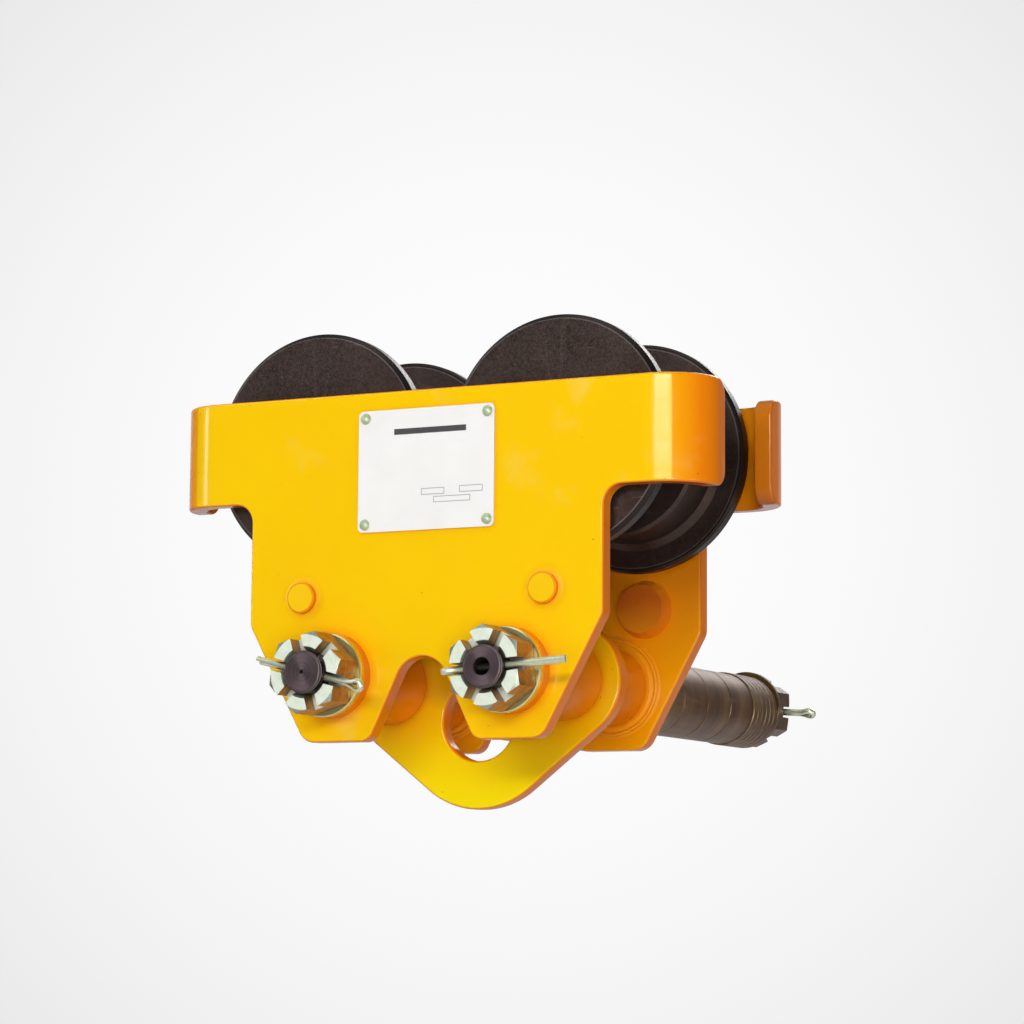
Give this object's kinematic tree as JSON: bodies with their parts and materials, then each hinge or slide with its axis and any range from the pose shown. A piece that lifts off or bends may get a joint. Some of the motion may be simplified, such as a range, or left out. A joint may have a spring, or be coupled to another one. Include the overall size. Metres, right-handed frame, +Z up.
{
  "type": "beam trolley",
  "caption": "Push trolley for the lower flange of an I-beam: two painted side plates with guard ears, flanged wheels, suspension shafts and a hanger plate with a round eye.",
  "frame": {"origin": "on the rolling surface of the beam's lower flange, midway between the wheels and between the side plates", "axes": "+X along the beam, +Y across it towards the rear side plate and its spare spacers, +Z up"},
  "size_m": [0.278, 0.3346, 0.2271],
  "materials": {
    "side_plate_paint": "glossy yellow enamel",
    "bush_paint": "glossy yellow enamel over a weld",
    "stud_paint": "glossy yellow enamel",
    "spacer_paint": "yellow enamel on turned steel",
    "hanger_paint": "glossy yellow enamel",
    "nameplate_enamel": "white lacquered sheet, bare of any print",
    "rivet_steel": "bright drive rivet",
    "shaft_steel": "dark turned steel",
    "nut_zinc": "zinc plated, machined",
    "washer_zinc": "yellow zinc plated",
    "pin_zinc": "zinc plated wire",
    "spare_spacer_steel": "turned steel with a dull oil film",
    "spare_washer_steel": "turned steel with a dull oil film",
    "wheel_steel": "turned, dark and bare",
    "axle_steel": "turned steel, its peened head painted over",
    "bearing_steel": "ground",
    "ball_steel": "polished",
    "cage_brass": "machined",
    "shield_steel": "pressed sheet",
    "circlip_steel": "blackened spring steel"
  },
  "bodies": {
    "frame": {"front_side_plate": "side_plate_paint", "rear_side_plate": "side_plate_paint", "front_shaft_bushes": "bush_paint", "rear_shaft_bushes": "bush_paint", "front_stop_studs": "stud_paint", "rear_stop_studs": "stud_paint", "front_inner_spacers": "spacer_paint", "rear_inner_spacers": "spacer_paint", "nameplate": "nameplate_enamel", "nameplate_rivets": "rivet_steel", "left_spare_spacers": "spare_spacer_steel", "right_spare_spacers": "spare_spacer_steel", "left_spare_washers": "spare_washer_steel", "right_spare_washers": "spare_washer_steel", "front_left_axle": "axle_steel", "front_right_axle": "axle_steel", "rear_left_axle": "axle_steel", "rear_right_axle": "axle_steel", "front_left_bearing_inner_ring": "bearing_steel", "front_right_bearing_inner_ring": "bearing_steel", "rear_left_bearing_inner_ring": "bearing_steel", "rear_right_bearing_inner_ring": "bearing_steel", "front_left_axle_circlip": "circlip_steel", "front_right_axle_circlip": "circlip_steel", "rear_left_axle_circlip": "circlip_steel", "rear_right_axle_circlip": "circlip_steel"},
    "hanger": {"hanger": "hanger_paint"},
    "left_shaft": {"left_suspension_shaft": "shaft_steel", "left_castle_nuts": "nut_zinc", "left_nut_washers": "washer_zinc", "left_split_pins": "pin_zinc"},
    "right_shaft": {"right_suspension_shaft": "shaft_steel", "right_castle_nuts": "nut_zinc", "right_nut_washers": "washer_zinc", "right_split_pins": "pin_zinc"},
    "front_left_wheel": {"front_left_wheel": "wheel_steel", "front_left_bearing_outer_ring": "bearing_steel", "front_left_bearing_shields": "shield_steel", "front_left_bore_circlip": "circlip_steel"},
    "front_left_cage": {"front_left_bearing_cage": "cage_brass", "front_left_bearing_balls": "ball_steel"},
    "front_right_wheel": {"front_right_wheel": "wheel_steel", "front_right_bearing_outer_ring": "bearing_steel", "front_right_bearing_shields": "shield_steel", "front_right_bore_circlip": "circlip_steel"},
    "front_right_cage": {"front_right_bearing_cage": "cage_brass", "front_right_bearing_balls": "ball_steel"},
    "rear_left_wheel": {"rear_left_wheel": "wheel_steel", "rear_left_bearing_outer_ring": "bearing_steel", "rear_left_bearing_shields": "shield_steel", "rear_left_bore_circlip": "circlip_steel"},
    "rear_left_cage": {"rear_left_bearing_cage": "cage_brass", "rear_left_bearing_balls": "ball_steel"},
    "rear_right_wheel": {"rear_right_wheel": "wheel_steel", "rear_right_bearing_outer_ring": "bearing_steel", "rear_right_bearing_shields": "shield_steel", "rear_right_bore_circlip": "circlip_steel"},
    "rear_right_cage": {"rear_right_bearing_cage": "cage_brass", "rear_right_bearing_balls": "ball_steel"}
  },
  "joints": [
    {"name": "front_left_wheel_spin", "type": "hinge", "parent": "frame", "child": "front_left_wheel", "pos_m": [-0.0635, -0.0338, 0.0425], "axis": [0, 1, 0], "continuous": true},
    {"name": "front_right_wheel_spin", "type": "hinge", "parent": "frame", "child": "front_right_wheel", "pos_m": [0.0635, -0.0338, 0.0425], "axis": [0, 1, 0], "continuous": true},
    {"name": "rear_left_wheel_spin", "type": "hinge", "parent": "frame", "child": "rear_left_wheel", "pos_m": [-0.0635, 0.0338, 0.0425], "axis": [0, 1, 0], "continuous": true},
    {"name": "rear_right_wheel_spin", "type": "hinge", "parent": "frame", "child": "rear_right_wheel", "pos_m": [0.0635, 0.0338, 0.0425], "axis": [0, 1, 0], "continuous": true},
    {"name": "front_left_cage_spin", "type": "hinge", "parent": "frame", "child": "front_left_cage", "pos_m": [-0.0635, -0.0338, 0.0425], "axis": [0, 1, 0], "continuous": true},
    {"name": "front_right_cage_spin", "type": "hinge", "parent": "frame", "child": "front_right_cage", "pos_m": [0.0635, -0.0338, 0.0425], "axis": [0, 1, 0], "continuous": true},
    {"name": "rear_left_cage_spin", "type": "hinge", "parent": "frame", "child": "rear_left_cage", "pos_m": [-0.0635, 0.0338, 0.0425], "axis": [0, 1, 0], "continuous": true},
    {"name": "rear_right_cage_spin", "type": "hinge", "parent": "frame", "child": "rear_right_cage", "pos_m": [0.0635, 0.0338, 0.0425], "axis": [0, 1, 0], "continuous": true},
    {"name": "left_shaft_turn", "type": "hinge", "parent": "frame", "child": "left_shaft", "pos_m": [-0.0465, 0, -0.0679], "axis": [0, 1, 0], "continuous": true},
    {"name": "right_shaft_turn", "type": "hinge", "parent": "frame", "child": "right_shaft", "pos_m": [0.0465, 0, -0.0679], "axis": [0, 1, 0], "continuous": true},
    {"name": "hanger_float", "type": "slide", "parent": "frame", "child": "hanger", "axis": [0, 1, 0], "range_m": [-0.0009, 0.0009]}
  ],
  "couplings": [
    {"joint": "front_left_cage_spin", "follows": "front_left_wheel_spin", "ratio": 0.5974},
    {"joint": "front_right_cage_spin", "follows": "front_right_wheel_spin", "ratio": 0.5974},
    {"joint": "rear_left_cage_spin", "follows": "rear_left_wheel_spin", "ratio": 0.5974},
    {"joint": "rear_right_cage_spin", "follows": "rear_right_wheel_spin", "ratio": 0.5974}
  ]
}
